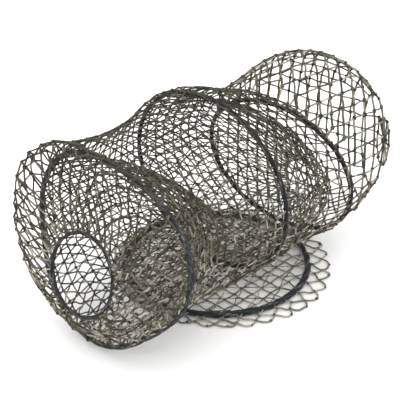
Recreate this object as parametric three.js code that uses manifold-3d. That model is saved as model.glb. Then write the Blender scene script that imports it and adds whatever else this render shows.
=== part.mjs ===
// Fish trap: knotted net over wrapped hoops, lying in use position. Millimetres, +Z up,
// X runs from the mouth (-X) to the closed end (+X), the floor is z = 0.
import * as THREE from 'three';
import Module from 'manifold-3d';

const wasm = await Module();
wasm.setup();

// Net and hoop sizes
const SHEET = 2.5; // thickness of every net
const STRAND = 0.15; // half width of a strand, as a share of one mesh step
const HOOP_THICK = 7; // wrapped hoop, across
const MOUTH_THICK = 5; // mouth ring, across
const SEAM_GAP = 2; // between two nets laced together at a hoop
const COLLAR = 6; // straight edge of a net where it passes over a hoop
const HOOP_STEPS = 56; // straight pieces in one hoop
const HOOP_SIDES = 8; // sides of the hoop's own section
const RIM_STEPS = 44; // straight pieces in the rim of the base net
const GATHER_RISE = 2; // how far the gathered tip stands out
const FLOOR_EDGE_SHARE = 0.9; // how much of a mesh must lie inside the flat floor

const HOOP_COLOUR = 0x33363c;
const NET_COLOUR = 0x857c66;
const HOOP_ROUGHNESS = 0.8;
const NET_ROUGHNESS = 0.9;

// Rounded three-cornered shape of the near hoop: shares of its radius, second and third waves
const OVAL = { cos2: 0.0046, sin2: -0.0147, cos3: -0.0473, sin3: 0.0579 };

// A row is one oval across the tube: centre, lean (top toward +X) and turn about Z in degrees,
// half width, half height, and how much of the near hoop's rounded shape it has
const COLUMNS = ['x', 'y', 'z', 'lean', 'turn', 'wide', 'high', 'oval'];

const HOOPS = {
  hoop_near: [-254.2, -21.5, 151, 7.4, 1.5, 136.7, 136.7, 1],
  hoop_middle: [-22.2, -4.8, 160.7, -6.6, -1.4, 149.1, 149.1, 0],
  hoop_far: [116.3, -38, 145.8, -17.9, 3.8, 131.9, 131.9, 0],
  mouth_ring: [-308, -31, 149, 15.6, 0, 56.1, 56.1, 0],
};

const NEAR_END = [
  [-254.2, -18.5, 156, 7.4, 1.5, 148.5, 148.5, 0.92],
  [-259.6, -18.3, 156.6, 7.4, 1.5, 148.3, 148.3, 0.92],
  [-267, -9.5, 161, 5, 1.5, 145, 145, 0.8],
  [-279, -3.5, 170.5, 3, 1.5, 140, 140, 0.5],
  [-291, -9, 173, 3, 1.5, 130, 130, 0.2],
  [-302, -18, 161, 9, 1, 94, 94, 0],
  [-308, -31, 149, 15.6, 0, 59.6, 59.6, 0],
];

const BODY = [
  [-254.2, -18.5, 156, 7.4, 1.5, 148.5, 148.5, 0.92],
  [-248.8, -18.3, 155.3, 7.4, 1.5, 148.3, 148.3, 0.92],
  [-228, -11.5, 155.5, 6, 1, 141, 141, 0.8],
  [-200, -8, 156, 5, 1, 136, 136, 0.5],
  [-150, -8, 156.5, 2, 0, 134.5, 136, 0.2],
  [-90, -8, 157, -2, 0, 142, 144, 0],
  [-22.2, -4.8, 160.8, -6.6, -1.4, 155.3, 155.3, 0],
  [20, -9, 157, -8, 1, 148, 150, 0],
  [62, -18, 155, -11, 2, 144, 144, 0],
  [92, -28.5, 153.5, -15.5, 3.4, 145.5, 143.5, 0],
  [110.8, -33.8, 152, -17.9, 3.8, 147.4, 147.4, 0],
  [116.3, -33.4, 153.8, -17.9, 3.8, 147.5, 147.5, 0],
];

const FAR_END = [
  [116.3, -33.4, 153.8, -17.9, 3.8, 147.5, 147.5, 0],
  [121.8, -33, 155.6, -17.9, 3.8, 147.3, 147.3, 0],
  [143, -29.5, 161.5, -19.5, 4, 140, 140, 0],
  [172, -28, 171, -21, 5, 132, 132, 0],
  [203, -27, 183, -22.5, 5, 128, 128, 0],
  [232, -27, 195, -23, 5, 125, 125, 0],
  [262, -27, 207, -23, 5, 113, 113, 0],
  [288, -27, 218, -23, 5, 91, 91, 0],
  [307, -27, 226, -23, 5, 63, 63, 0],
  [320, -27, 231, -23, 5, 20, 20, 0],
];

// Meshes of each net: how many round, how many rows, plain edge at the start and at the end
const MESHES = {
  net_near_end: { round: 28, rows: 3, start: 0.1, end: 0.1 },
  net_body: { round: 28, rows: 10, start: 0.1, end: 0.1 },
  net_far_end: { round: 24, rows: 6, start: 0.1, end: 0.3 },
};

// Base: a hoop lying flat inside a shallow slack net
const BASE = {
  hoopX: 3, hoopY: -2, hoopZ: 6.5, hoopR: 149.9,
  rimX: 12, rimY: -8, rimR: 178, // widest line of the slack net
  topR: 157, // inner edge of the slack rim, beside the hoop
  topZ: 7.6,
  rimZ: 4.6,
  floorR: 168, // where the net meets the floor
  meshStep: 31, // half of a mesh, each way
  rimMeshes: 14,
  rimCutIn: 162, // a rim mesh, from its inner to its outer corner
  rimCutOut: 173,
  rimCutShare: 0.8, // its width, as a share of the room for it
};

// Point of an oval row at an angle measured from its top
function ovalPoint(row, angle) {
  const lean = THREE.MathUtils.degToRad(row.lean);
  const turn = THREE.MathUtils.degToRad(row.turn);
  const normal = new THREE.Vector3(
    Math.cos(lean) * Math.cos(turn), Math.cos(lean) * Math.sin(turn), -Math.sin(lean));
  const side = new THREE.Vector3(0, 0, 1).cross(normal).normalize();
  const up = normal.clone().cross(side);
  const wave = 1 + row.oval * (OVAL.cos2 * Math.cos(2 * angle) + OVAL.sin2 * Math.sin(2 * angle)
    + OVAL.cos3 * Math.cos(3 * angle) + OVAL.sin3 * Math.sin(3 * angle));
  return new THREE.Vector3(row.x, row.y, row.z)
    .addScaledVector(up, wave * row.high * Math.cos(angle))
    .addScaledVector(side, wave * row.wide * Math.sin(angle));
}

function named(values) {
  return Object.fromEntries(COLUMNS.map((name, k) => [name, values[k]]));
}

// Smooth value between four neighbouring table entries
function smooth(a, b, c, d, t) {
  const bend = t * t;
  const rise = bend * t;
  return 0.5 * (2 * b + (c - a) * t + (2 * a - 5 * b + 4 * c - d) * bend
    + (3 * b - a - 3 * c + d) * rise);
}

// Oval anywhere along a table, s counts its rows
function rowAt(table, s) {
  const last = table.length - 1;
  const k = Math.min(Math.floor(s), last - 1);
  const pick = (n) => table[Math.min(Math.max(n, 0), last)];
  const values = COLUMNS.map((_, c) =>
    smooth(pick(k - 1)[c], pick(k)[c], pick(k + 1)[c], pick(k + 2)[c], s - k));
  return named(values);
}

// Even steps along a table: returns the row number at a distance from its start
function evenSteps(table) {
  const perRow = 12;
  const count = (table.length - 1) * perRow;
  const angles = [0, 1, 2, 3, 4, 5, 6, 7].map((k) => (k * Math.PI) / 4);
  const lengths = [0];
  for (let n = 1; n <= count; n += 1) {
    const before = rowAt(table, (n - 1) / perRow);
    const after = rowAt(table, n / perRow);
    const steps = angles.map((a) => ovalPoint(before, a).distanceTo(ovalPoint(after, a)));
    lengths.push(lengths[n - 1] + steps.reduce((sum, v) => sum + v, 0) / angles.length);
  }
  const total = lengths[count];
  const rowOf = (distance) => {
    const n = Math.min(Math.max(lengths.findIndex((v) => v >= distance), 1), count);
    const share = (distance - lengths[n - 1]) / (lengths[n] - lengths[n - 1]);
    return (n - 1 + share) / perRow;
  };
  return { total, rowOf };
}

// Collects the corners and faces of one closed body
class Body {
  constructor() {
    this.corners = [];
    this.faces = [];
    this.known = new Map();
  }

  corner(key, make) {
    if (!this.known.has(key)) {
      this.known.set(key, this.corners.length);
      this.corners.push(make());
    }
    return this.known.get(key);
  }

  // Triangles from the first corner of a ring to all the others
  fan(ring) {
    for (let k = 1; k < ring.length - 1; k += 1) {
      this.faces.push([ring[0], ring[k], ring[k + 1]]);
    }
  }

  solid() {
    const vertProperties = new Float32Array(this.corners.flatMap((p) => [p.x, p.y, p.z]));
    const triVerts = new Uint32Array(this.faces.flat());
    return new wasm.Manifold(new wasm.Mesh({ numProp: 3, vertProperties, triVerts }));
  }
}

// The sheet of a net: its corners are found by mesh number round (i) and along (j)
class NetSheet extends Body {
  constructor(table, mesh, closed) {
    super();
    this.table = table;
    this.mesh = mesh;
    const { total, rowOf } = evenSteps(table);
    this.rowOf = rowOf;
    this.origin = SEAM_GAP / 2 + COLLAR;
    this.end = mesh.rows + 1 + mesh.end;
    const length = total - this.origin - (closed ? 0 : this.origin);
    this.step = length / (mesh.start + this.end);
    this.startEdge = -mesh.start - COLLAR / this.step;
    this.endEdge = closed ? this.end : this.end + COLLAR / this.step;
  }

  place(i, j) {
    const distance = this.origin + (this.mesh.start + j) * this.step;
    return ovalPoint(rowAt(this.table, this.rowOf(distance)), (2 * Math.PI * i) / this.mesh.round);
  }

  facing(i, j) {
    const nudge = 0.02;
    const middle = Math.min(Math.max(j, this.startEdge + nudge), this.endEdge - nudge);
    const round = this.place(i + nudge, j).sub(this.place(i - nudge, j));
    const along = this.place(i, middle + nudge).sub(this.place(i, middle - nudge));
    return along.cross(round).normalize();
  }

  // layer is 1 on the face of the sheet and -1 on its back
  at([i, j], layer) {
    const turn = (i + this.mesh.round) % this.mesh.round;
    return this.corner(`${turn.toFixed(2)} ${j.toFixed(2)} ${layer}`, () =>
      this.place(turn, j).addScaledVector(this.facing(turn, j), (layer * SHEET) / 2));
  }

  // One patch of sheet, both sides; its points run clockwise on the face
  patch(points) {
    this.fan(points.map((p) => this.at(p, 1)));
    this.fan(points.map((p) => this.at(p, -1)).reverse());
  }

  // Cut edge of the sheet from one point to the next
  wall(a, b) {
    this.fan([this.at(a, 1), this.at(b, 1), this.at(b, -1), this.at(a, -1)]);
  }

  meshHole(i, j) {
    const left = [i - 1 + STRAND, j];
    const top = [i, j + 1 - STRAND];
    const right = [i + 1 - STRAND, j];
    const low = [i, j - 1 + STRAND];
    this.wall(left, top);
    this.wall(top, right);
    this.wall(right, low);
    this.wall(low, left);
  }

  knot(i, j) {
    const points = [[i - STRAND, j]];
    if (j < this.mesh.rows) points.push([i, j + STRAND]);
    points.push([i + STRAND, j]);
    if (j > 1) points.push([i, j - STRAND]);
    this.patch(points);
  }

  strands(i, j) {
    const w = STRAND;
    this.patch([[i, j + w], [i + 1 - w, j + 1], [i + 1, j + 1 - w], [i + w, j]]);
    this.patch([[i - w, j], [i - 1, j + 1 - w], [i - 1 + w, j + 1], [i, j + w]]);
  }

  // Plain sheet between the first meshes and the start of the net
  startBand(c) {
    const low = -this.mesh.start;
    const w = STRAND;
    this.patch([[c, low], [c - 1, low], [c - 1, w], [c - w, 1], [c + w, 1], [c + 1, w],
      [c + 1, low]]);
  }

  // Straight edge of the net from one height to the next, between c and c + 1
  collar(c, from, to) {
    this.patch([[c, from], [c, to], [c + 1, to], [c + 1, from]]);
  }

  // Plain sheet between the last meshes and the end of the net
  endBand(c) {
    const { rows } = this.mesh;
    const w = STRAND;
    const far = this.end;
    this.patch([[c, far], [c + 1, far], [c + 1, rows + 1 - w], [c + w, rows], [c - w, rows],
      [c - 1, rows + 1 - w], [c - 1, far]]);
  }

  // The end drawn together to one point
  gather(c) {
    const last = rowAt(this.table, this.table.length - 1);
    const top = ovalPoint(last, 0);
    const low = ovalPoint(last, Math.PI);
    const side = ovalPoint(last, Math.PI / 2);
    const middle = top.clone().add(low).multiplyScalar(0.5);
    const out = side.clone().sub(middle).cross(top.clone().sub(middle)).normalize();
    const tip = (layer) => this.corner(`tip ${layer}`, () =>
      middle.clone().addScaledVector(out, GATHER_RISE + (layer * SHEET) / 2));
    this.fan([this.at([c + 1, this.end], 1), this.at([c, this.end], 1), tip(1)]);
    this.fan([tip(-1), this.at([c, this.end], -1), this.at([c + 1, this.end], -1)]);
  }
}

// Tube of net with diamond meshes cut through and a plain edge at each end
function netTube(table, mesh, closed = false) {
  const sheet = new NetSheet(table, mesh, closed);
  for (let j = 1; j <= mesh.rows; j += 1) {
    for (let i = 0; i < mesh.round; i += 1) {
      if ((i + j) % 2 === 1) {
        sheet.meshHole(i, j);
      } else {
        sheet.knot(i, j);
        if (j < mesh.rows) sheet.strands(i, j);
      }
    }
  }
  for (let c = 0; c < mesh.round; c += 1) {
    if (c % 2 === 1) sheet.startBand(c);
    if ((c + mesh.rows) % 2 === 0) sheet.endBand(c);
    sheet.collar(c, sheet.startEdge, -mesh.start);
    sheet.wall([c, sheet.startEdge], [c + 1, sheet.startEdge]);
    if (closed) {
      sheet.gather(c);
    } else {
      sheet.collar(c, sheet.end, sheet.endEdge);
      sheet.wall([c + 1, sheet.endEdge], [c, sheet.endEdge]);
    }
  }
  return sheet.solid();
}

// Round bar bent along a closed line of points
function ringBar(points, thick) {
  const body = new Body();
  const count = points.length;
  const middle = points.reduce((sum, p) => sum.add(p), new THREE.Vector3()).divideScalar(count);
  const axis = points[0].clone().sub(middle).cross(points[count / 4].clone().sub(middle)).normalize();
  points.forEach((point, k) => {
    const along = points[(k + 1) % count].clone().sub(points[(k + count - 1) % count]).normalize();
    const out = along.clone().cross(axis).normalize();
    for (let n = 0; n < HOOP_SIDES; n += 1) {
      const angle = (2 * Math.PI * n) / HOOP_SIDES;
      body.corners.push(point.clone()
        .addScaledVector(out, (Math.cos(angle) * thick) / 2)
        .addScaledVector(axis, (Math.sin(angle) * thick) / 2));
    }
  });
  for (let k = 0; k < count; k += 1) {
    for (let n = 0; n < HOOP_SIDES; n += 1) {
      const next = (n + 1) % HOOP_SIDES;
      const here = k * HOOP_SIDES;
      const there = ((k + 1) % count) * HOOP_SIDES;
      body.fan([here + n, there + n, there + next, here + next]);
    }
  }
  return body.solid();
}

function ovalHoop(values, thick) {
  const row = named(values);
  const points = [];
  for (let k = 0; k < HOOP_STEPS; k += 1) {
    points.push(ovalPoint(row, (2 * Math.PI * k) / HOOP_STEPS));
  }
  return ringBar(points, thick);
}

function flatHoop() {
  const points = [];
  for (let k = 0; k < HOOP_STEPS; k += 1) {
    const angle = (2 * Math.PI * k) / HOOP_STEPS;
    points.push(new THREE.Vector3(BASE.hoopX + BASE.hoopR * Math.cos(angle),
      BASE.hoopY + BASE.hoopR * Math.sin(angle), BASE.hoopZ));
  }
  return ringBar(points, HOOP_THICK);
}

// Shallow slack net under the base hoop, before its meshes are cut: rings from the middle of
// the underside, round the rim and back over the floor; each is radius, height, and its share
// of the way from the hoop's middle to the rim's middle
function baseSheet() {
  const { rimR, floorR, topR, topZ, rimZ } = BASE;
  const half = SHEET / 2;
  const rings = [
    [floorR, 0, 1],
    [rimR - 1, half, 1],
    [rimR + half, rimZ, 1],
    [rimR - half, rimZ + 2 * half, 1],
    [topR, topZ + half, 0],
    [topR, topZ - half, 0],
    [rimR - 2 * SHEET, rimZ + 0.4, 1],
    [rimR - 2 * SHEET + 1, rimZ - half, 1],
    [floorR - 2, SHEET, 1],
  ];
  const body = new Body();
  const ringPoint = ([r, z, share], k) => {
    const angle = (2 * Math.PI * k) / RIM_STEPS;
    const x = BASE.hoopX + share * (BASE.rimX - BASE.hoopX);
    const y = BASE.hoopY + share * (BASE.rimY - BASE.hoopY);
    return new THREE.Vector3(x + r * Math.cos(angle), y + r * Math.sin(angle), z);
  };
  const at = (n, k) => body.corner(`${n} ${k % RIM_STEPS}`, () => ringPoint(rings[n], k % RIM_STEPS));
  const low = body.corner('low', () => new THREE.Vector3(BASE.rimX, BASE.rimY, 0));
  const high = body.corner('high', () => new THREE.Vector3(BASE.rimX, BASE.rimY, SHEET));
  const last = rings.length - 1;
  for (let k = 0; k < RIM_STEPS; k += 1) {
    body.fan([low, at(0, k + 1), at(0, k)]);
    for (let n = 0; n < last; n += 1) {
      body.fan([at(n, k), at(n, k + 1), at(n + 1, k + 1), at(n + 1, k)]);
    }
    body.fan([at(last, k), at(last, k + 1), high]);
  }
  return body.solid();
}

// Upright block over a ring of [x, y] corners that run anticlockwise
function upright(outline, from, to) {
  const body = new Body();
  const count = outline.length;
  outline.forEach(([x, y]) => body.corners.push(new THREE.Vector3(x, y, from)));
  outline.forEach(([x, y]) => body.corners.push(new THREE.Vector3(x, y, to)));
  body.fan(outline.map((_, k) => count - 1 - k));
  body.fan(outline.map((_, k) => count + k));
  for (let k = 0; k < count; k += 1) {
    const next = (k + 1) % count;
    body.fan([k, next, count + next, count + k]);
  }
  return body.solid();
}

// Diamond meshes in the floor of the base net, with a knot in the middle
function floorMeshes() {
  const { meshStep, floorR, rimX, rimY } = BASE;
  const reach = Math.ceil(floorR / meshStep);
  const half = meshStep * (1 - STRAND);
  const cuts = [];
  for (let i = -reach; i <= reach; i += 1) {
    for (let j = -reach; j <= reach; j += 1) {
      const x = i * meshStep;
      const y = j * meshStep;
      const far = Math.hypot(x - rimX, y - rimY) + half * FLOOR_EDGE_SHARE;
      if (Math.abs(i + j) % 2 === 1 && far < floorR) {
        cuts.push(upright([[x - half, y], [x, y - half], [x + half, y], [x, y + half]],
          -SHEET, 1.4 * SHEET));
      }
    }
  }
  return cuts;
}

// Meshes in the upper layer of the slack rim
function rimMeshes() {
  const { rimX, rimY, rimMeshes: count, rimCutIn, rimCutOut, rimCutShare } = BASE;
  const cuts = [];
  for (let k = 0; k < count; k += 1) {
    const middle = (2 * Math.PI * (k + 0.5)) / count;
    const wide = (Math.PI * rimCutShare) / count;
    const corner = (r, angle) => [rimX + r * Math.cos(angle), rimY + r * Math.sin(angle)];
    cuts.push(upright([corner(rimCutIn, middle), corner((rimCutIn + rimCutOut) / 2, middle - wide),
      corner(rimCutOut, middle), corner((rimCutIn + rimCutOut) / 2, middle + wide)],
    1.4 * SHEET, 6 * SHEET));
  }
  return cuts;
}

function baseNet() {
  const cuts = [...floorMeshes(), ...rimMeshes()];
  return cuts.reduce((net, cut) => net.subtract(cut), baseSheet());
}

function toMesh(name, solid, colour, roughness) {
  const { vertProperties, triVerts } = solid.getMesh();
  const shape = new THREE.BufferGeometry();
  shape.setAttribute('position', new THREE.BufferAttribute(new Float32Array(vertProperties), 3));
  shape.setIndex(new THREE.BufferAttribute(new Uint32Array(triVerts), 1));
  shape.computeVertexNormals();
  const mesh = new THREE.Mesh(shape,
    new THREE.MeshStandardMaterial({ color: colour, roughness, metalness: 0 }));
  mesh.name = name;
  return mesh;
}

const trap = new THREE.Group();
trap.name = 'fish_trap';
Object.entries(HOOPS).forEach(([name, row]) => {
  const thick = name === 'mouth_ring' ? MOUTH_THICK : HOOP_THICK;
  trap.add(toMesh(name, ovalHoop(row, thick), HOOP_COLOUR, HOOP_ROUGHNESS));
});
trap.add(toMesh('hoop_base', flatHoop(), HOOP_COLOUR, HOOP_ROUGHNESS));
trap.add(toMesh('net_near_end', netTube(NEAR_END, MESHES.net_near_end), NET_COLOUR, NET_ROUGHNESS));
trap.add(toMesh('net_body', netTube(BODY, MESHES.net_body), NET_COLOUR, NET_ROUGHNESS));
trap.add(toMesh('net_far_end', netTube(FAR_END, MESHES.net_far_end, true), NET_COLOUR, NET_ROUGHNESS));
trap.add(toMesh('net_base', baseNet(), NET_COLOUR, NET_ROUGHNESS));

export default trap;
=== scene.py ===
# Fish trap: knotted twine nets on wound hoops, seen from the mouth end
import math

import bpy
import numpy as np
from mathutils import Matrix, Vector


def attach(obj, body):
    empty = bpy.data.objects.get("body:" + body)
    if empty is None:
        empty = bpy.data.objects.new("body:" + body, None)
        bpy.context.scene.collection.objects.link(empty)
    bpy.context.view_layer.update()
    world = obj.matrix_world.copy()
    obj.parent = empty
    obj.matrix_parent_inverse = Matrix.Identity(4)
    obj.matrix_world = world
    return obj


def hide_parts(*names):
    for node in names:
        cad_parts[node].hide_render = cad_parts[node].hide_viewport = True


MM = 0.001

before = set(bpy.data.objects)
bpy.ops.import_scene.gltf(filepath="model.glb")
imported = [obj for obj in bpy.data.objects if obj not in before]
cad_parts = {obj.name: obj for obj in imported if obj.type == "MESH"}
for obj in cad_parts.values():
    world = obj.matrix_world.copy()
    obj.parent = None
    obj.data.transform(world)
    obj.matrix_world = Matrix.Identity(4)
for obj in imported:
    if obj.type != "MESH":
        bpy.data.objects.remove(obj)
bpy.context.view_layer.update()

# Camera and picture
CAMERA_AT = (-0.8769, -0.7180, 0.7483)
CAMERA_TO = (0.1475, 0.1569, 0.0)
LENS = 73.8
SENSOR = 36.0

# Rounded three-cornered outline of the near hoop: radius change by angle from the top
OVAL = {"cos2": 0.0046, "sin2": -0.0147, "cos3": -0.0473, "sin3": 0.0579}

# Ovals, in millimetres and degrees: x, y, z, lean, turn, wide, high, oval
HOOPS = {
    "hoop_near": (-254.2, -21.5, 151, 7.4, 1.5, 136.7, 136.7, 1),
    "hoop_middle": (-22.2, -4.8, 160.7, -6.6, -1.4, 149.1, 149.1, 0),
    "hoop_far": (116.3, -38, 145.8, -17.9, 3.8, 131.9, 131.9, 0),
    "mouth_ring": (-308, -31, 149, 15.6, 0, 56.1, 56.1, 0),
}
# Rows of the nets, in the same terms, from their hoops on
NEAR_END = [
    (-254.2, -18.5, 156, 7.4, 1.5, 148.5, 148.5, 0.92),
    (-259.6, -18.3, 157.5, 7.4, 1.5, 143.5, 143.5, 0.92),
    (-267, -10.5, 163, 5, 1.5, 142.5, 142.5, 0.8),
    (-279, -4.5, 172, 3, 1.5, 138, 138, 0.5),
    (-291, -9, 173, 3, 1.5, 130, 130, 0.2),
    (-302, -18, 161, 9, 1, 94, 94, 0),
    (-308, -31, 149, 15.6, 0, 59.6, 59.6, 0),
]
BODY = [
    (-254.2, -18.5, 156, 7.4, 1.5, 148.5, 148.5, 0.92),
    (-248.8, -18.3, 156.5, 7.4, 1.5, 144.5, 144.5, 0.92),
    (-228, -12, 156, 6, 1, 140, 140, 0.8),
    (-200, -8, 156, 5, 1, 136, 136, 0.5),
    (-150, -8, 156.5, 2, 0, 134.5, 136, 0.2),
    (-90, -8, 157, -2, 0, 142, 144, 0),
    (-22.2, -4.8, 160.8, -6.6, -1.4, 155.3, 155.3, 0),
    (20, -9, 157, -8, 1, 148, 150, 0),
    (62, -18, 155, -11, 2, 144, 144, 0),
    (92, -28.5, 153.5, -15.5, 3.4, 145.5, 143.5, 0),
    (110.8, -33.8, 152, -17.9, 3.8, 147.4, 147.4, 0),
    (116.3, -33.4, 153.8, -17.9, 3.8, 147.5, 147.5, 0),
]
FAR_END = [
    (116.3, -33.4, 153.8, -17.9, 3.8, 147.5, 147.5, 0),
    (121.8, -33.5, 155.6, -17.9, 3.8, 147.8, 147.3, 0),
    (143, -34, 162, -19.5, 4, 146, 144, 0),
    (172, -35.5, 172, -21, 5, 143, 142, 0),
    (203, -36, 184, -22.5, 5, 138, 140, 0),
    (230, -34, 196, -23, 5, 128, 133, 0),
    (254, -31, 206, -23, 5, 111, 118, 0),
    (276, -28, 214, -23, 5, 87, 94, 0),
    (294, -26, 220, -23, 5, 58, 64, 0),
    (305, -25, 224, -23, 5, 19, 20, 0),
]
# Rows of the funnel nets inside the near and middle hoops
FUNNEL_NEAR = [
    (-256, -21.5, 151, 7.4, 1.5, 133, 133, 1),
    (-235, -19, 150, 7, 1.5, 126, 126, 0.9),
    (-200, -16, 147, 5, 0, 113, 113, 0.5),
    (-160, -15, 140, 3, 0, 96, 96, 0.2),
    (-120, -16, 129, 0, 0, 77, 77, 0),
    (-85, -18, 117, 0, 0, 58, 58, 0),
    (-60, -19, 105, 0, 0, 43, 43, 0),
    (-36, -19, 97, 0, 0, 29, 29, 0),
]
FUNNEL_MIDDLE = [
    (-22, -4.8, 160.7, -6.6, -1.4, 146, 146, 0),
    (0, -8, 158, -7, 0, 139, 139, 0),
    (30, -14, 156, -9, 0, 132, 132, 0),
    (62, -22, 153, -12, 1, 124, 124, 0),
    (88, -32, 150, -16, 3, 113, 113, 0),
    (104, -40, 146, -16, 3, 95, 95, 0),
    (116, -50, 139, -12, 2, 70, 70, 0),
    (128, -60, 131, -6, 1, 46, 46, 0),
    (140, -66, 126, 0, 0, 30, 30, 0),
]
# Base hoop, and the round edge of the base net, in millimetres
BASE = {"x": 3, "y": -2, "z": 6.5, "r": 149.9, "rim_x": 12, "rim_y": -8, "rim_r": 178}
BASE_NET_REACH = BASE["r"] - 6
BASE_TWINE = 2.8
BASE_KNOT = 2.0

# Far bag's net: a point inside, the way across its columns, its meshes and its twine
BAG = {
    "centre": (196, -33, 178),
    "across": (0.665, -0.747, 0.0),
    "column_step": 18.0,
    "bar": 22.5,
    "lean": 0.36,
    "thick": 3.4,
    "thin": 2.7,
    "knot": 2.9,
    "seam_meshes": 44,
}
# How far the loose end of the far bag lies beyond its rows
BAG_SWELL = (0, -3, 3)

# How far knots of diamond nets stray: off the sheet in millimetres, and as a share of a mesh
DIAMOND_LIFT = 0.8
DIAMOND_LOOSE = 0.08
# The same for the body net, and the most and fewest knots in one of its rings
RING_LIFT = 0.7
RING_LOOSE = 0.05
MOST_KNOTS = 60
FEWEST_KNOTS = 12

UP = np.array([0.0, 0.0, 1.0])


# Rows of vectors, each made one long
def unit(rows):
    return rows / np.maximum(np.linalg.norm(rows, axis=1), 1e-9)[:, None]


# Points of oval rows at angles measured from their tops
def oval_points(rows, angle):
    lean = np.radians(rows[:, 3])
    turn = np.radians(rows[:, 4])
    normal = np.stack(
        [np.cos(lean) * np.cos(turn), np.cos(lean) * np.sin(turn), -np.sin(lean)], axis=1
    )
    side = unit(np.cross(UP, normal))
    up = np.cross(normal, side)
    wave = 1 + rows[:, 7] * (
        OVAL["cos2"] * np.cos(2 * angle)
        + OVAL["sin2"] * np.sin(2 * angle)
        + OVAL["cos3"] * np.cos(3 * angle)
        + OVAL["sin3"] * np.sin(3 * angle)
    )
    high = (wave * rows[:, 6] * np.cos(angle))[:, None]
    wide = (wave * rows[:, 5] * np.sin(angle))[:, None]
    return rows[:, :3] + up * high + side * wide


# Middle line of a hoop's bar, and the ways out from its centre
def hoop_ring(values, count=220):
    rows = np.repeat(np.array([values], float), count, axis=0)
    angle = np.arange(count) * 2 * math.pi / count
    points = oval_points(rows, angle)
    out = points - np.array(values[:3])
    return points, unit(out)


# Points of a hoop's middle line nearest to some others
def on_hoop(name, points):
    line, _ = hoop_ring(HOOPS[name], 720)
    apart = np.linalg.norm(points[:, None] - line[None], axis=2)
    return line[apart.argmin(axis=1)]


# Smooth rows between the rows of a table, s counts them
def rows_at(table, s):
    table = np.asarray(table, float)
    last = len(table) - 1
    k = np.clip(np.floor(s).astype(int), 0, last - 1)
    t = (s - k)[:, None]
    a, b, c, d = (table[np.clip(k + n, 0, last)] for n in (-1, 0, 1, 2))
    return 0.5 * (
        2 * b
        + (c - a) * t
        + (2 * a - 5 * b + 4 * c - d) * t * t
        + (3 * b - a - 3 * c + d) * t * t * t
    )


# A tube of net: points by share of the way round and distance along
class Tube:
    def __init__(self, table):
        self.table = table
        steps = np.linspace(0, len(table) - 1, (len(table) - 1) * 16 + 1)
        rows = rows_at(table, steps)
        runs = []
        for angle in np.arange(8) * math.pi / 4:
            p = oval_points(rows, np.full(len(rows), angle))
            runs.append(np.linalg.norm(np.diff(p, axis=0), axis=1))
        self.steps = steps
        self.lengths = np.concatenate([[0], np.cumsum(np.mean(runs, axis=0))])
        self.total = self.lengths[-1]

    def place(self, share, along):
        s = np.interp(along, self.lengths, self.steps)
        return oval_points(rows_at(self.table, s), 2 * math.pi * share)

    def round_at(self, along):
        share = np.linspace(0, 1, 49)
        p = self.place(share, np.full(49, along))
        return float(np.linalg.norm(np.diff(p, axis=0), axis=1).sum())

    def facing(self, share, along):
        small = 0.002
        low = np.clip(along - 1, 0, self.total - 2)
        across = self.place(share + small, along) - self.place(share - small, along)
        forward = self.place(share, low + 2) - self.place(share, low)
        return unit(np.cross(across, forward))


# Slow waves over a tube, the same at share 0 and 1
def waves(share, along, size, seed):
    pick = np.random.default_rng(seed)
    total = np.zeros_like(share)
    for _ in range(6):
        turns = pick.integers(1, 7)
        pace = pick.uniform(0.012, 0.05)
        start = pick.uniform(0, 2 * math.pi)
        total += np.sin(2 * math.pi * turns * share + pace * along + start)
    return size * total / 2.4


# Collects round strands, each a run of points with the way out of the sheet
class Strands:
    def __init__(self, sides=6):
        self.sides = sides
        self.runs = []

    def add(self, points, out, radius, tone):
        self.runs.append((np.asarray(points), np.asarray(out), radius, tone))

    # Corners round each point of a run
    def rings(self, points, out, radius):
        ahead = unit(np.gradient(points, axis=0))
        first = unit(out - (out * ahead).sum(axis=1)[:, None] * ahead)
        second = np.cross(ahead, first)
        size = np.broadcast_to(np.asarray(radius, float), (len(points),))
        turn = 2 * math.pi * np.arange(self.sides) / self.sides
        ring = (
            first[:, None] * np.cos(turn)[None, :, None]
            + second[:, None] * np.sin(turn)[None, :, None]
        )
        return (points[:, None] + ring * size[:, None, None]).reshape(-1, 3)

    # Side faces of a run, with share round and distance along at each face corner
    def walls(self, points):
        n = self.sides
        m = len(points)
        steps = np.linalg.norm(np.diff(points, axis=0), axis=1)
        length = np.concatenate([[0], np.cumsum(steps)])
        k = np.arange(m - 1)[:, None] * n
        a = np.arange(n)[None, :]
        b = (a + 1) % n
        quads = np.stack([k + a, k + b, k + n + b, k + n + a], axis=-1).reshape(-1, 4)
        lows = np.broadcast_to(length[:-1][:, None], (m - 1, n))
        highs = np.broadcast_to(length[1:][:, None], (m - 1, n))
        left = np.broadcast_to(a / n, (m - 1, n))
        right = left + 1 / n
        spots = ((left, lows), (right, lows), (right, highs), (left, highs))
        uv = np.stack([np.stack(spot, -1) for spot in spots], axis=2)
        return quads, uv.reshape(-1, 2)

    def mesh(self, name):
        n = self.sides
        corners, faces, uvs, caps, tones = [], [], [], [], []
        start = 0
        for points, out, radius, tone in self.runs:
            m = len(points)
            quads, uv = self.walls(points)
            corners.append(self.rings(points, out, radius))
            faces.append(quads + start)
            uvs.append(uv)
            ends = np.array([np.arange(n)[::-1], (m - 1) * n + np.arange(n)])
            caps.append(ends + start)
            tones.append(np.full(m * n, tone))
            start += m * n
        parts = [np.concatenate(rows) for rows in (corners, faces, uvs, caps, tones)]
        return build_mesh(name, parts[0] * MM, *parts[1:])


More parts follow.
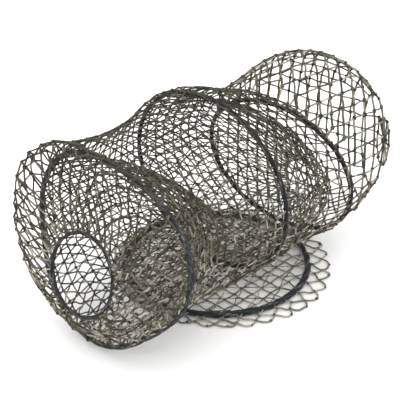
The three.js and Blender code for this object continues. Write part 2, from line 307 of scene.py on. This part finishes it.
# Blender mesh of faces and end caps, with run coordinates and a tone at each corner
def build_mesh(name, corners, faces, uv, caps, tones):
    mesh = bpy.data.meshes.new(name)
    loops = np.concatenate([faces.ravel(), caps.ravel()])
    sizes = np.concatenate(
        [np.full(len(faces), faces.shape[1]), np.full(len(caps), caps.shape[1])]
    )
    starts = np.concatenate([[0], np.cumsum(sizes)[:-1]])
    mesh.vertices.add(len(corners))
    mesh.vertices.foreach_set("co", corners.astype(np.float32).ravel())
    mesh.loops.add(len(loops))
    mesh.loops.foreach_set("vertex_index", loops.astype(np.int32))
    mesh.polygons.add(len(sizes))
    mesh.polygons.foreach_set("loop_start", starts.astype(np.int32))
    mesh.update(calc_edges=True)
    layer = mesh.uv_layers.new(name="run")
    full = np.zeros((len(loops), 2), np.float32)
    full[: len(uv)] = uv
    layer.data.foreach_set("uv", full.ravel())
    tone = mesh.attributes.new("tone", "FLOAT", "POINT")
    tone.data.foreach_set("value", tones.astype(np.float32))
    mesh.polygons.foreach_set("use_smooth", np.ones(len(sizes), bool))
    mesh.validate()
    piece = bpy.data.objects.new(name, mesh)
    bpy.context.collection.objects.link(piece)
    return piece


# Unit ball of 42 corners, for knots
def ball():
    g = (1 + math.sqrt(5)) / 2
    points = [
        (-1, g, 0), (1, g, 0), (-1, -g, 0), (1, -g, 0), (0, -1, g), (0, 1, g),
        (0, -1, -g), (0, 1, -g), (g, 0, -1), (g, 0, 1), (-g, 0, -1), (-g, 0, 1),
    ]
    faces = [
        (0, 11, 5), (0, 5, 1), (0, 1, 7), (0, 7, 10), (0, 10, 11), (1, 5, 9), (5, 11, 4),
        (11, 10, 2), (10, 7, 6), (7, 1, 8), (3, 9, 4), (3, 4, 2), (3, 2, 6), (3, 6, 8),
        (3, 8, 9), (4, 9, 5), (2, 4, 11), (6, 2, 10), (8, 6, 7), (9, 8, 1),
    ]
    points = [np.array(p) / np.linalg.norm(p) for p in points]
    known = {}
    out = []

    def middle(a, b):
        key = (min(a, b), max(a, b))
        if key not in known:
            p = points[a] + points[b]
            known[key] = len(points)
            points.append(p / np.linalg.norm(p))
        return known[key]

    for a, b, c in faces:
        ab, bc, ca = middle(a, b), middle(b, c), middle(c, a)
        out += [(a, ab, ca), (b, bc, ab), (c, ca, bc), (ab, bc, ca)]
    return np.array(points), np.array(out)


BALL_POINTS, BALL_FACES = ball()


# Knots: lumpy balls, each with its own place, way out, run and size
class Knots:
    def __init__(self):
        self.rows = []

    def add(self, point, out, run, size, tone):
        self.rows.append((point, out, run, size, tone))

    def mesh(self, name, seed):
        pick = np.random.default_rng(seed)
        count = len(self.rows)
        centre = np.array([r[0] for r in self.rows])
        out = np.array([r[1] for r in self.rows])
        run = np.array([r[2] for r in self.rows])
        size = np.array([r[3] for r in self.rows])
        tone = np.array([r[4] for r in self.rows])
        run = unit(run - (run * out).sum(axis=1)[:, None] * out)
        cross = np.cross(out, run)
        lumps = 1 + pick.uniform(-0.22, 0.22, (count, len(BALL_POINTS)))
        b = BALL_POINTS[None] * lumps[:, :, None] * size[:, None, None]
        p = (
            centre[:, None]
            + b[..., 0:1] * run[:, None] * 1.25
            + b[..., 1:2] * cross[:, None] * 0.95
            + b[..., 2:3] * out[:, None] * 0.8
        )
        starts = np.arange(count) * len(BALL_POINTS)
        faces = (BALL_FACES[None] + starts[:, None, None]).reshape(-1, 3)
        uv = np.zeros((len(faces) * 3, 2))
        no_caps = np.zeros((0, 3), int)
        tones = np.repeat(tone, len(BALL_POINTS))
        return build_mesh(name, p.reshape(-1, 3) * MM, faces, uv, no_caps, tones)


# A strand between two knots, bowed a little and leaving each knot in line
def bar_points(a, b, out_a, out_b, bow, lift, steps=5):
    t = np.linspace(0, 1, steps + 1)[:, None]
    line = a + (b - a) * t
    out = unit(out_a + (out_b - out_a) * t)
    side = np.cross(b - a, out_a)
    side = side / max(np.linalg.norm(side), 1e-9)
    hump = 4 * t * (1 - t)
    lean = np.sin(2 * math.pi * t)
    return line + side * (bow[0] * hump + bow[1] * lean) + out * (lift * hump), out


# Rings of knots down a tube: the same columns all the way, fewer in smaller rings
def tube_rings(tube, start, end, bar, seed):
    pick = np.random.default_rng(seed)
    rows = max(2, round((end - start) / bar))
    rings = []
    for j in range(rows + 1):
        along = start + (end - start) * j / rows
        count = int(np.clip(round(tube.round_at(along) / bar), FEWEST_KNOTS, MOST_KNOTS))
        if rings:
            before = len(rings[-1][0])
            count = int(np.clip(count, before - 6, before + 6))
            count = before if abs(count - before) < 6 else count
        share = np.arange(count) / count
        place = np.full(count, along)
        if 0 < j < rows:
            share = share + pick.normal(0, RING_LOOSE / count, count)
            place = place + pick.normal(0, RING_LOOSE * bar, count)
            share = share + waves(share, place, 0.16 / count, seed + 1)
            place = place + waves(share, place, 0.16 * bar, seed + 2)
        place = np.clip(place, 0, tube.total - 0.5)
        rings.append((share, place))
    return rings


# Share of the light tones that twine has: the upper parts are darker, as painted shade
def painted_top_shade(point):
    return 0.35 + 0.65 * float(np.clip((285 - point[2]) / 150, 0, 1))


# Number of the ring of knots that lies nearest to a hoop
def ring_by_hoop(places, name):
    line, _ = hoop_ring(HOOPS[name], 720)
    middle = line.mean(axis=0)
    gaps = [np.linalg.norm(points.mean(axis=0) - middle) for points, _ in places]
    return int(np.argmin(gaps))


# Pairs of knots of two rings that a bar joins
def joined(share_before, share):
    gap = np.abs((share_before[:, None] - share[None, :] + 0.5) % 1 - 0.5)
    if len(share_before) >= len(share):
        return [(m, int(gap[m].argmin())) for m in range(len(share_before))]
    return [(int(gap[:, m].argmin()), m) for m in range(len(share))]


# Net of rings: bars round each ring and from ring to ring, the rings in seams lie on hoops
def ring_net(tube, rings, seed, around, along, knot, seams):
    pick = np.random.default_rng(seed)
    strands, knots = Strands(), Knots()
    places = []
    for share, run in rings:
        out = tube.facing(share, run)
        stray = pick.normal(0, RING_LIFT, len(share))[:, None]
        places.append((tube.place(share, run) + out * stray, out))
    for name, ring in seams:
        ring = ring_by_hoop(places, name) if ring is None else ring
        points, out = places[ring]
        places[ring] = (on_hoop(name, points), out)

    def bar(a, b, out_a, out_b, thick):
        length = np.linalg.norm(b - a)
        bow = pick.normal(0, 0.025, 2) * length
        rise = pick.normal(0, 0.02) * length
        points, out = bar_points(a, b, out_a, out_b, bow, rise)
        # Tone cut towards the top: painted shade
        tone = pick.uniform(0, 1) * painted_top_shade(a)
        strands.add(points, out, thick / 2 * pick.uniform(0.88, 1.12), tone)

    for j, (points, out) in enumerate(places):
        for i, point in enumerate(points):
            k = (i + 1) % len(points)
            bar(point, points[k], out[i], out[k], around)
            size = knot * pick.uniform(0.85, 1.2)
            knots.add(point, out[i], points[k] - point, size, pick.uniform(0, 1))
        if j == 0:
            continue
        before, out_before = places[j - 1]
        for m, n in joined(rings[j - 1][0] % 1, rings[j][0] % 1):
            bar(before[m], points[n], out_before[m], out[n], along)
    return strands, knots


# Distances along a tube of its rows of diamond knots, wider apart where it is narrow
def diamond_rows(tube, around, bar):
    along = 1.0
    rows = []
    while along < tube.total - 2:
        rows.append(along)
        half = tube.round_at(along) / around / 2
        along += math.sqrt(max(bar * bar - half * half, (0.35 * bar) ** 2))
    return rows + [tube.total - 0.5]


# Net of diamond meshes on a tube, its twine changing by taper from end to end
def diamond_net(tube, around, bar, seed, twine, knot, ends=(), taper=(1, 1)):
    pick = np.random.default_rng(seed)
    strands, knots = Strands(sides=5), Knots()
    rows = diamond_rows(tube, around, bar)
    last = len(rows) - 1

    def knot_row(j):
        share = (np.arange(around) + 0.5 * (j % 2)) / around
        share = share + pick.normal(0, DIAMOND_LOOSE / around, around)
        place = np.full(around, rows[j])
        if 0 < j < last:
            share = share + waves(share, place, 0.25 / around, seed + 1)
            place = place + waves(share, place, 0.2 * bar, seed + 2)
            place = place + pick.normal(0, DIAMOND_LOOSE * bar, around)
        place = np.clip(place, 0, tube.total - 0.2)
        out = tube.facing(share, place)
        stray = pick.normal(0, DIAMOND_LIFT, around)[:, None]
        return tube.place(share, place) + out * stray, out

    def tie(a, b, out_a, out_b, thick):
        length = np.linalg.norm(b - a)
        bow = pick.normal(0, 0.03, 2) * length
        rise = pick.normal(0, 0.02) * length
        line, way = bar_points(a, b, out_a, out_b, bow, rise, 3)
        # Tone cut towards the top: painted shade
        tone = pick.uniform(0, 1) * painted_top_shade(b)
        strands.add(line, way, thick / 2 * pick.uniform(0.88, 1.12), tone)

    places = [knot_row(j) for j in range(len(rows))]
    for name, row in ends:
        points, out = places[row]
        places[row] = (on_hoop(name, points), out)
    for j, (points, out) in enumerate(places):
        thick = twine * (taper[0] + (taper[1] - taper[0]) * j / last)
        for i, point in enumerate(points):
            size = knot * pick.uniform(0.8, 1.25)
            ahead = places[min(j + 1, last)][0][i] - places[max(j - 1, 0)][0][i]
            knots.add(point, out[i], ahead, size, pick.uniform(0, 1))
            if j == 0:
                continue
            before, out_before = places[j - 1]
            for m in ((i, i - 1) if j % 2 == 0 else (i, (i + 1) % around)):
                tie(before[m], point, out_before[m], out[i], thick)
    return strands, knots


# New material, with its nodes, links and shader
def new_material(name):
    material = bpy.data.materials.new(name)
    material.use_nodes = True
    nodes = material.node_tree.nodes
    links = material.node_tree.links
    shader = nodes["Principled BSDF"]
    return material, nodes, links, shader


# Colour ramp node from places and colours
def colour_ramp(nodes, stops):
    ramp = nodes.new("ShaderNodeValToRGB")
    ramp.color_ramp.elements[0].position = stops[0][0]
    ramp.color_ramp.elements[0].color = (*stops[0][1], 1)
    ramp.color_ramp.elements[1].position = stops[-1][0]
    ramp.color_ramp.elements[1].color = (*stops[-1][1], 1)
    for place, colour in stops[1:-1]:
        stop = ramp.color_ramp.elements.new(place)
        stop.color = (*colour, 1)
    return ramp


# Maths node, with fixed numbers for the inputs named
def maths(nodes, operation, numbers):
    node = nodes.new("ShaderNodeMath")
    node.operation = operation
    for place, number in numbers.items():
        node.inputs[place].default_value = number
    return node


def noise(nodes, links, place, scale, detail):
    node = nodes.new("ShaderNodeTexNoise")
    node.inputs["Scale"].default_value = scale
    node.inputs["Detail"].default_value = detail
    links.new(place.outputs["Object"], node.inputs["Vector"])
    return node


# Sine stripes that wind round a strand: plies round it, pitch turns in each millimetre
def winding(nodes, links, pitch, plies):
    run = nodes.new("ShaderNodeUVMap")
    run.uv_map = "run"
    split = nodes.new("ShaderNodeSeparateXYZ")
    around = maths(nodes, "MULTIPLY", {1: 2 * math.pi * plies})
    along = maths(nodes, "MULTIPLY_ADD", {1: 2 * math.pi * pitch})
    stripe = maths(nodes, "SINE", {})
    links.new(run.outputs["UV"], split.inputs[0])
    links.new(split.outputs["X"], around.inputs[0])
    links.new(split.outputs["Y"], along.inputs[0])
    links.new(around.outputs[0], along.inputs[2])
    links.new(along.outputs[0], stripe.inputs[0])
    return stripe


# Twisted twine: stripes round the strand, fibres and uneven colour
def twine_material(name, stops, roughness=0.85, pitch=0.5, plies=3):
    material, nodes, links, shader = new_material(name)
    shader.inputs["Roughness"].default_value = roughness
    shader.inputs["Specular IOR Level"].default_value = 0.25
    place = nodes.new("ShaderNodeTexCoord")
    stripe = winding(nodes, links, pitch, plies)
    patches = noise(nodes, links, place, 60, 3)
    fibres = noise(nodes, links, place, 900, 2)
    tone = nodes.new("ShaderNodeAttribute")
    tone.attribute_name = "tone"

    # Sum of the fibres, the strand's tone, the patches and the stripes
    fibre_part = maths(nodes, "MULTIPLY_ADD", {1: 0.5, 2: -0.25})
    tone_part = maths(nodes, "MULTIPLY_ADD", {1: 0.55})
    patch_part = maths(nodes, "MULTIPLY_ADD", {1: 0.45})
    stripe_part = maths(nodes, "MULTIPLY_ADD", {1: 0.08})
    links.new(fibres.outputs["Fac"], fibre_part.inputs[0])
    links.new(tone.outputs["Fac"], tone_part.inputs[0])
    links.new(fibre_part.outputs[0], tone_part.inputs[2])
    links.new(patches.outputs["Fac"], patch_part.inputs[0])
    links.new(tone_part.outputs[0], patch_part.inputs[2])
    links.new(stripe.outputs[0], stripe_part.inputs[0])
    links.new(patch_part.outputs[0], stripe_part.inputs[2])
    ramp = colour_ramp(nodes, stops)
    links.new(stripe_part.outputs[0], ramp.inputs[0])
    links.new(ramp.outputs["Color"], shader.inputs["Base Color"])

    heights = maths(nodes, "MULTIPLY_ADD", {1: 0.5})
    bump = nodes.new("ShaderNodeBump")
    bump.inputs["Strength"].default_value = 0.6
    bump.inputs["Distance"].default_value = 0.0004
    links.new(stripe.outputs[0], heights.inputs[0])
    links.new(fibres.outputs["Fac"], heights.inputs[2])
    links.new(heights.outputs[0], bump.inputs["Height"])
    links.new(bump.outputs["Normal"], shader.inputs["Normal"])
    return material


TWINE_STOPS = [
    (0.22, (0.030, 0.028, 0.021)),
    (0.42, (0.085, 0.077, 0.056)),
    (0.62, (0.22, 0.20, 0.152)),
    (0.85, (0.50, 0.465, 0.385)),
]
KNOT_STOPS = [
    (0.2, (0.016, 0.015, 0.010)),
    (0.5, (0.042, 0.038, 0.024)),
    (0.75, (0.10, 0.085, 0.06)),
    (1.0, (0.20, 0.17, 0.13)),
]
# Hoop cords: near-black, rising to a light grey top stop that is painted highlight along the
# cords
HOOP_STOPS = [
    (0.2, (0.007, 0.008, 0.009)),
    (0.6, (0.018, 0.020, 0.023)),
    (0.8, (0.050, 0.054, 0.060)),
    (1.0, (0.26, 0.265, 0.26)),
]
twine = twine_material("twine", TWINE_STOPS)
knotted = twine_material("twine_knot", KNOT_STOPS)
wound = twine_material("hoop_cord", HOOP_STOPS, roughness=0.7, pitch=0.1, plies=2)

made = {}


# Material, body and slot of a piece, and the node it stands for
def dress(piece, material, node=None):
    piece.data.materials.clear()
    piece.data.materials.append(material)
    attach(piece, "root")
    if node:
        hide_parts(node)


# Both pieces of a net, its twine and its knots
def put_net(name, strands, knots, seed, node=None):
    piece = strands.mesh("twine_" + name)
    dress(piece, twine, node)
    tied = knots.mesh("knots_" + name, seed)
    dress(tied, knotted)
    made[name] = (piece, tied)


# Closed wound hoop: a bundle of twisted cords that follow a ring of points
def hoop(points, out, thick, seed, turns, cords=4):
    pick = np.random.default_rng(seed)
    strands = Strands(sides=7)
    closed = np.vstack([points, points[:1]])
    ahead = np.gradient(closed, axis=0)
    ahead[0] = ahead[-1] = closed[1] - closed[-2]
    ahead = unit(ahead)
    away = np.vstack([out, out[:1]])
    away = unit(away - (away * ahead).sum(axis=1)[:, None] * ahead)
    cross = np.cross(ahead, away)
    share = np.linspace(0, 1, len(closed))
    spread = thick * 0.25 * (1 + 0.13 * waves(share, share * 0, 1.0, seed + 5))
    for c in range(cords):
        wobble = waves(share, share * 0, 0.5, seed + 20 + c)
        turn = 2 * math.pi * (turns * share + c / cords) + wobble
        outward = (spread * np.cos(turn))[:, None]
        sideways = (spread * np.sin(turn))[:, None]
        path = closed + away * outward + cross * sideways
        radius = thick * 0.27 * (1 + 0.12 * waves(share, share * 0, 1.0, seed + 40 + c))
        strands.add(path, away, radius, pick.uniform(0, 1))
    return strands


for n, (name, values) in enumerate(HOOPS.items()):
    points, out = hoop_ring(values)
    thick, turns = (5.6, 6) if name == "mouth_ring" else (7.6, 11)
    made[name] = hoop(points, out, thick, 50 + n, turns).mesh("wound_" + name)
    dress(made[name], wound, name)

angle = np.arange(240) * 2 * math.pi / 240
circle = np.stack([np.cos(angle), np.sin(angle), 0 * angle], axis=1)
centre = np.array([BASE["x"], BASE["y"], BASE["z"]])
ring = hoop(centre + circle * BASE["r"], circle, 10.0, 70, 13)
made["hoop_base"] = ring.mesh("wound_hoop_base")
dress(made["hoop_base"], wound, "hoop_base")

body = Tube(BODY)
rings = tube_rings(body, 1.0, body.total - 1.0, 17.5, 3)
seams = (("hoop_near", 0), ("hoop_middle", None), ("hoop_far", -1))
strands, knots = ring_net(body, rings, 101, 2.4, 2.1, 2.1, seams)
put_net("net_body", strands, knots, 108, "net_body")

ends = (("hoop_near", 0), ("mouth_ring", -1))
strands, knots = diamond_net(Tube(NEAR_END), 36, 18, 102, 2.6, 2.2, ends=ends)
put_net("net_near_end", strands, knots, 109, "net_near_end")

strands, knots = diamond_net(Tube(FUNNEL_NEAR), 50, 14, 201, 1.9, 1.6, taper=(1.3, 0.8))
put_net("funnel_near", strands, knots, 208)
strands, knots = diamond_net(Tube(FUNNEL_MIDDLE), 48, 14, 202, 1.9, 1.6, taper=(1.3, 0.8))
put_net("funnel_middle", strands, knots, 209)


# Distance of the far bag from a point inside it, by direction
class Bag:
    def __init__(self, tube, centre):
        self.centre = np.array(centre, float)
        share, along = np.meshgrid(np.linspace(0, 1, 121)[:-1], np.linspace(0, tube.total, 70))
        points = tube.place(share.ravel(), along.ravel()) - self.centre
        self.points = points
        self.far = np.linalg.norm(points, axis=1)
        self.ways = points / self.far[:, None]

    def reach(self, ways):
        near = ways @ self.ways.T
        best = np.argsort(-near, axis=1)[:, :4]
        match = np.take_along_axis(near, best, axis=1)
        weight = 1 / (1.0001 - match)
        return (self.far[best] * weight).sum(axis=1) / weight.sum(axis=1), match[:, 0]


# Far bag: upright columns of bars, and bars from column to column that all lean one way
class BagNet:
    def __init__(self, tube, seed):
        self.pick = np.random.default_rng(seed)
        self.strands, self.knots = Strands(), Knots()
        self.bag = Bag(tube, BAG["centre"])
        self.away = np.array(BAG["across"])
        self.away /= np.linalg.norm(self.away)
        side = np.array(CAMERA_AT) / MM - self.bag.centre
        side -= side @ self.away * self.away
        self.side = side / np.linalg.norm(side)
        top = np.cross(self.away, self.side)
        self.top = top * np.sign(top[2])
        count = BAG["seam_meshes"]
        share = np.arange(count) / count
        self.seam = on_hoop("hoop_far", tube.place(share, np.full(count, 2.0)))
        self.seam_out = tube.facing(share, np.full(count, 2.0))
        self.middle = self.seam.mean(axis=0)
        normal = np.cross(self.seam[count // 4] - self.middle, self.seam[0] - self.middle)
        normal /= np.linalg.norm(normal)
        self.normal = normal * np.sign(normal @ (self.bag.centre - self.middle))

    def tie(self, a, b, out_a, out_b, size, tone):
        length = np.linalg.norm(b - a)
        bow = self.pick.normal(0, 0.02, 2) * length
        line, out = bar_points(a, b, out_a, out_b, bow, 0.0)
        self.strands.add(line, out, size / 2 * self.pick.uniform(0.9, 1.1), tone)

    def to_seam(self, a, out_a, aim, size, reach=55.0):
        n = int(np.linalg.norm(self.seam - aim, axis=1).argmin())
        if np.linalg.norm(self.seam[n] - a) < reach:
            tone = self.pick.uniform(0, 1)
            self.tie(a, self.seam[n], out_a, self.seam_out[n], size, tone)

    # Points of the bag on one upright plane, their ways out, and which lie on the bag
    def at(self, offset, angle):
        turn = np.cos(angle)[:, None] * self.side + np.sin(angle)[:, None] * self.top
        across = np.full(len(angle), 60.0)
        for _ in range(8):
            ways = self.away * offset + turn * across[:, None]
            size = np.linalg.norm(ways, axis=1)
            reach, match = self.bag.reach(ways / size[:, None])
            across = np.sqrt(np.maximum(reach * reach - offset * offset, 16.0))
        ways = self.away * offset + turn * across[:, None]
        points = self.bag.centre + ways
        free = np.clip(((points - self.middle) @ self.normal - 5) / 90, 0, 1)
        points = points + free[:, None] * np.array(BAG_SWELL)
        sound = (match > 0.997) & ((points - self.middle) @ self.normal > 7.0)
        sound &= np.linalg.norm(ways[:, None] - self.bag.points, axis=2).min(axis=1) < 6
        return points, unit(ways), sound

    # Angles of the knots of a column that lie on level rows, in front and behind
    def level_knots(self, offset, turns, outline):
        height = (outline - self.bag.centre) @ self.top
        half = len(turns) // 2
        spots = []
        for face, part in ((1, slice(0, half + 1)), (-1, slice(half, None))):
            order = np.argsort(height[part])
            level, turn = height[part][order], turns[part][order]
            for n in range(-9, 10):
                aim = n * BAG["bar"] + face * offset * BAG["lean"]
                if 0.85 * level[0] < aim < 0.85 * level[-1]:
                    spots.append((np.interp(aim, level, turn), (face, n)))
        return sorted(spots)

    # All knots of a column: the level ones, and more where it turns over
    def column_knots(self, offset):
        turns = np.linspace(-math.pi / 2, 1.5 * math.pi, 121)
        outline, _, _ = self.at(offset, turns)
        steps = np.linalg.norm(np.diff(outline, axis=0), axis=1)
        run = np.concatenate([[0], np.cumsum(steps)])
        spots = self.level_knots(offset, turns, outline)
        filled = []
        for i, (turn, key) in enumerate(spots):
            filled.append((turn, key))
            start = np.interp(turn, turns, run)
            after = spots[(i + 1) % len(spots)][0]
            end = np.interp(after, turns, run) + (run[-1] if i + 1 == len(spots) else 0)
            count = int(round((end - start) / BAG["bar"]))
            for k in range(1, count):
                place = (start + (end - start) * k / count) % run[-1]
                filled.append((np.interp(place, run, turns), (0, len(filled))))
        return filled

    def columns(self):
        found = []
        for j in range(-8, 8):
            offset = j * BAG["column_step"]
            places = self.column_knots(offset)
            if not places:
                continue
            stray = self.pick.normal(0, 0.006, len(places))
            angles = np.array([turn for turn, _ in places]) + stray
            rows = zip(*self.at(offset + self.pick.normal(0, 0.5), angles))
            found.append({key: row for (_, key), row in zip(places, rows)})
        return found

    # Bar from a column to a knot of the next: in its row, to the nearest, or to the seam
    def across(self, column, key, point, out):
        thin, bar = BAG["thin"], BAG["bar"]
        before = column.get(key) if key[0] else None
        if before is None:
            others = [v for v in column.values() if v[2]]
            if others:
                near_by = min(others, key=lambda v: np.linalg.norm(v[0] - point))
                if np.linalg.norm(near_by[0] - point) < 1.6 * bar:
                    tone = self.pick.uniform(0, 1)
                    self.tie(near_by[0], point, near_by[1], out, thin, tone)
        elif before[2]:
            self.tie(before[0], point, before[1], out, thin, self.pick.uniform(0, 1))
        else:
            self.to_seam(point, out, (point + before[0]) / 2, thin, 1.7 * bar)

    def fill_column(self, column, before):
        thick = BAG["thick"]
        keys = list(column)
        for i, key in enumerate(keys):
            point, out, keep = column[key]
            after, out_after, keep_after = column[keys[(i + 1) % len(keys)]]
            if keep and keep_after:
                self.tie(point, after, out, out_after, thick, self.pick.uniform(0, 0.8))
            elif keep:
                self.to_seam(point, out, (point + after) / 2, thick)
            elif keep_after:
                self.to_seam(after, out_after, (point + after) / 2, thick)
            if not keep:
                continue
            size = BAG["knot"] * self.pick.uniform(0.85, 1.2)
            self.knots.add(point, out, after - point, size, self.pick.uniform(0, 1))
            if before:
                self.across(before, key, point, out)

    def fill_seam(self):
        count = len(self.seam)
        for i in range(count):
            k = (i + 1) % count
            a, b, out = self.seam[i], self.seam[k], self.seam_out[i]
            self.tie(a, b, out, self.seam_out[k], BAG["thin"], self.pick.uniform(0, 1))
            self.knots.add(a, out, b - a, BAG["knot"], self.pick.uniform(0, 1))

    # The last column drawn together in one knot
    def fill_tip(self, column):
        rows = list(column.values())
        tip = np.mean([row[0] for row in rows], axis=0) + self.away * 3
        for point, out, _ in rows:
            self.tie(point, tip, out, self.away, BAG["thin"], self.pick.uniform(0, 1))
        self.knots.add(tip, self.away, self.top, BAG["knot"] * 2.2, 0.3)

    def fill(self):
        columns = self.columns()
        for j, column in enumerate(columns):
            self.fill_column(column, columns[j - 1] if j else None)
        self.fill_seam()
        self.fill_tip(columns[-1])
        return self.strands, self.knots


strands, knots = BagNet(Tube(FAR_END), 103).fill()
put_net("net_far_end", strands, knots, 110, "net_far_end")


# Height of the base sheet: up on the hoop, down to the floor beyond and inside it
def base_height(x, y, top):
    from_hoop = np.hypot(x - BASE["x"], y - BASE["y"]) - BASE["r"]
    if top:
        return np.where(from_hoop < 0, 7.5, np.maximum(2.5, 8.5 - from_hoop * 0.3))
    inside = np.clip(-from_hoop / 40, 0, 1)
    return np.where(from_hoop < 0, 6.0 - 4.2 * inside, np.maximum(1.8, 6.0 - from_hoop * 0.22))


# Slanted flat meshes of the base net inside its outline, joined to the edge meshes
def base_layer(seed, one, two, shift, top, thick, edge, strands, knots):
    pick = np.random.default_rng(seed)
    one = np.array(one, float)
    two = np.array(two, float)
    spots = {}
    for m in range(-24, 25):
        for n in range(-24, 25):
            p = one * m + two * n + np.array(shift) + pick.normal(0, 0.9, 2)
            d = p - np.array([BASE["x"], BASE["y"]])
            if np.hypot(*d) < BASE_NET_REACH:
                spots[(m, n)] = p
    points = {k: np.array([*p, base_height(p[0], p[1], top)]) for k, p in spots.items()}

    # Bars and knots of the base net take only the lighter tones: painted light on a net that
    # lies in shade by the floor
    def bar(a, b):
        length = np.linalg.norm(b - a)
        line, out = bar_points(a, b, UP, UP, pick.normal(0, 0.03, 2) * length, 0.0)
        line[:, 2] = base_height(line[:, 0], line[:, 1], top)
        strands.add(line, out, thick / 2 * pick.uniform(0.88, 1.12), pick.uniform(0.5, 1))

    for (m, n), a in points.items():
        knots.add(a, UP, [1, 0, 0], BASE_KNOT * pick.uniform(0.75, 1.0), pick.uniform(0.4, 1))
        for step in ((1, 0), (0, 1), (-1, 0), (0, -1)):
            other = (m + step[0], n + step[1])
            if other in points:
                if sum(step) > 0:
                    bar(a, points[other])
                continue
            aim = a[:2] + one * step[0] + two * step[1]
            bar(a, edge[int(np.hypot(*(edge[:, :2] - aim).T).argmin())])


# Edge of the base net: three rings of knots with diamonds between them
def base_edge(seed, count, strands, knots):
    pick = np.random.default_rng(seed)
    rings = []
    for ring in (0, 1, 2):
        share = (np.arange(count) + 0.5 * (ring % 2) + pick.normal(0, 0.05, count)) / count
        turn = 2 * math.pi * share
        inner = np.array([BASE["x"], BASE["y"], BASE["r"] + 9])
        outer = np.array([BASE["rim_x"], BASE["rim_y"], BASE["rim_r"]])
        middle_x, middle_y, radius = inner + (outer - inner) * ring / 2
        radius = radius - (2.5 if ring == 2 else 0) + pick.normal(0, 1.2, count)
        x = middle_x + radius * np.cos(turn)
        y = middle_y + radius * np.sin(turn)
        rings.append(np.stack([x, y, base_height(x, y, False)], axis=1))
    # Bars and knots of the edge take only the lighter tones: painted light on a net that lies
    # in shade by the floor
    for ring in (0, 1):
        for i in range(count):
            a = rings[ring][i]
            for k in ((i, i - 1) if ring == 0 else (i, (i + 1) % count)):
                b = rings[ring + 1][k]
                length = np.linalg.norm(b - a)
                line, out = bar_points(a, b, UP, UP, pick.normal(0, 0.04, 2) * length, 0.0)
                away = (a + b) / 2 - [BASE["rim_x"], BASE["rim_y"], 0]
                slack = np.linspace(0, math.pi, len(line))
                line += np.sin(slack)[:, None] * away * 0.2 * ring * length / BASE["rim_r"]
                line[:, 2] = base_height(line[:, 0], line[:, 1], False)
                radius = BASE_TWINE / 2 * pick.uniform(0.9, 1.1)
                strands.add(line, out, radius, pick.uniform(0.5, 1))
    for ring in rings:
        for p in ring:
            knots.add(p, UP, [1, 0, 0], 2.1 * pick.uniform(0.85, 1.2), pick.uniform(0.5, 1))
    return rings[0]


strands, knots = Strands(), Knots()
edge = base_edge(33, 34, strands, knots)
base_layer(31, (20.8, -1.3), (2.0, 20.8), (0, 0), False, 2.2, edge, strands, knots)
base_layer(32, (18.2, -21.3), (31, 9.3), (7, 5), True, 1.8, edge, strands, knots)
put_net("net_base", strands, knots, 39, "net_base")

# Floor, light and camera
bpy.ops.mesh.primitive_plane_add(size=12, location=(0, 0, -0.0005))
floor = bpy.context.object
floor.name = "floor"
material, nodes, links, shader = new_material("pale_floor")
shader.inputs["Roughness"].default_value = 0.9
grain = nodes.new("ShaderNodeTexNoise")
grain.inputs["Scale"].default_value = 3
ramp = colour_ramp(nodes, [(0.3, (0.9, 0.9, 0.9)), (0.7, (0.93, 0.93, 0.93))])
links.new(grain.outputs["Fac"], ramp.inputs[0])
links.new(ramp.outputs["Color"], shader.inputs["Base Color"])
floor.data.materials.append(material)

world = bpy.data.worlds.new("soft_light")
bpy.context.scene.world = world
world.use_nodes = True
world.node_tree.nodes["Background"].inputs["Color"].default_value = (1, 1, 1, 1)
world.node_tree.nodes["Background"].inputs["Strength"].default_value = 1.35
bpy.context.scene.view_settings.view_transform = "Standard"


# Square lamp that faces the trap
def lamp(name, place, size, power):
    data = bpy.data.lights.new(name, "AREA")
    data.size = size
    data.energy = power
    item = bpy.data.objects.new(name, data)
    bpy.context.collection.objects.link(item)
    item.location = place
    aim = Vector((0, 0, 0.1)) - Vector(place)
    item.rotation_euler = aim.to_track_quat("-Z", "Y").to_euler()


lamp("key", (-0.6, -0.4, 2.2), 2.2, 22)
lamp("fill", (-1.6, 0.8, 1.2), 1.2, 6)

lens = bpy.data.cameras.new("view")
lens.lens = LENS
lens.sensor_width = SENSOR
eye = bpy.data.objects.new("view", lens)
bpy.context.collection.objects.link(eye)
eye.location = CAMERA_AT
view_way = Vector(CAMERA_TO) - Vector(CAMERA_AT)
eye.rotation_euler = view_way.to_track_quat("-Z", "Y").to_euler()
bpy.context.scene.camera = eye
